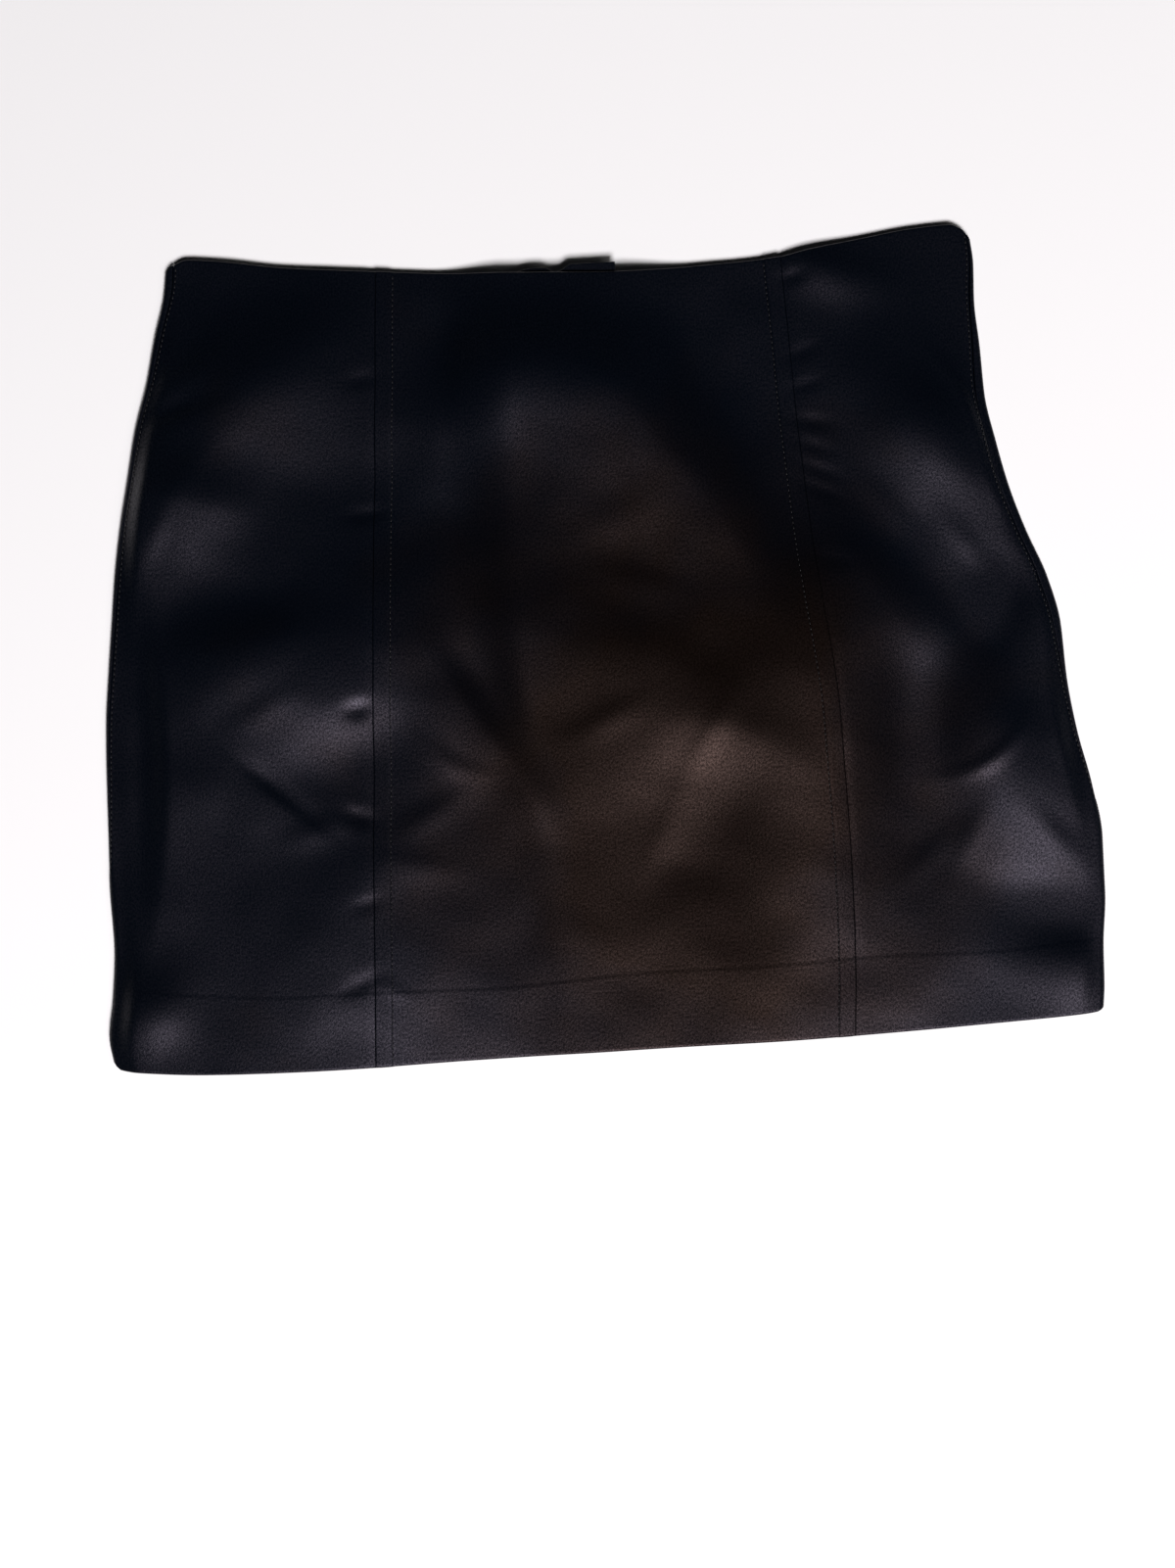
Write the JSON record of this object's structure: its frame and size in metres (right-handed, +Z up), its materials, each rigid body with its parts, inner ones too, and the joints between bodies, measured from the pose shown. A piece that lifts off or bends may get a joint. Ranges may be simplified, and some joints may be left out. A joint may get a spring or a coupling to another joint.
{
  "type": "lace-up mini skirt",
  "caption": "Short fitted woven skirt laid flat, with princess seams down the front and a laced opening at the centre back.",
  "frame": {"origin": "middle of the skirt's outline, on the surface it lies on", "axes": "+X across the skirt to the right as seen from above, +Y towards the waist, +Z up off the surface, out of the front"},
  "size_m": [0.4609, 0.3746, 0.0144],
  "materials": {
    "satin": "black satin with a soft sheen",
    "lace": "black braided cord",
    "eyelet": "black painted brass, slightly glossy"
  },
  "bodies": {
    "root": {"front_centre": "satin", "front_side_left": "satin", "front_side_right": "satin", "back_left": "satin", "back_right": "satin", "placket": "satin", "eyelet_left_1": "eyelet", "eyelet_left_2": "eyelet", "eyelet_left_3": "eyelet", "eyelet_left_4": "eyelet", "eyelet_left_5": "eyelet", "eyelet_right_1": "eyelet", "eyelet_right_2": "eyelet", "eyelet_right_3": "eyelet", "eyelet_right_4": "eyelet", "eyelet_right_5": "eyelet", "lace": "lace"}
  },
  "joints": []
}
